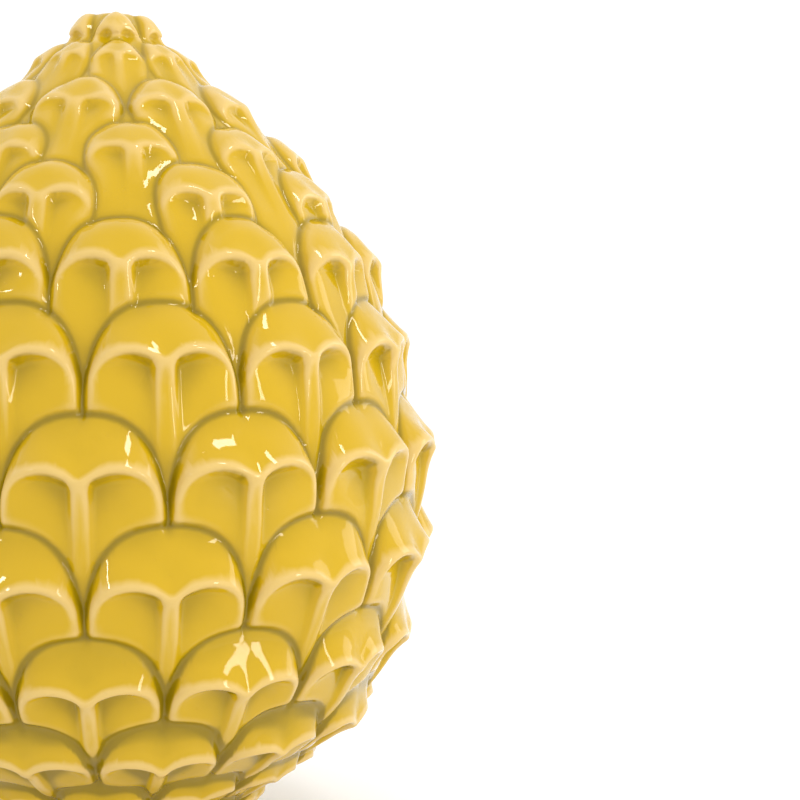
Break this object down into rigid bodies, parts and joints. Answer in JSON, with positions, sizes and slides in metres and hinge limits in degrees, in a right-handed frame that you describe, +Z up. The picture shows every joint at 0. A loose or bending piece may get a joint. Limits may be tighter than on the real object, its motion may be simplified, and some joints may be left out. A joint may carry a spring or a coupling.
{
  "type": "glazed ceramic pinecone finial",
  "caption": "Upright egg-shaped pinecone ornament with overlapping shield scales, two scoops and a midrib on each, on a low round foot.",
  "frame": {"origin": "centre of the foot's flat underside, on the cone's axis", "axes": "+Z up along the cone's axis from foot to tip; -Y towards the viewer of the picture, +X to the viewer's right"},
  "size_m": [0.228, 0.2272, 0.3],
  "materials": {
    "glaze": "honey-yellow glossy ceramic glaze, pale on the edges and darker in the grooves"
  },
  "bodies": {
    "root": {"pinecone": "glaze"}
  },
  "joints": []
}
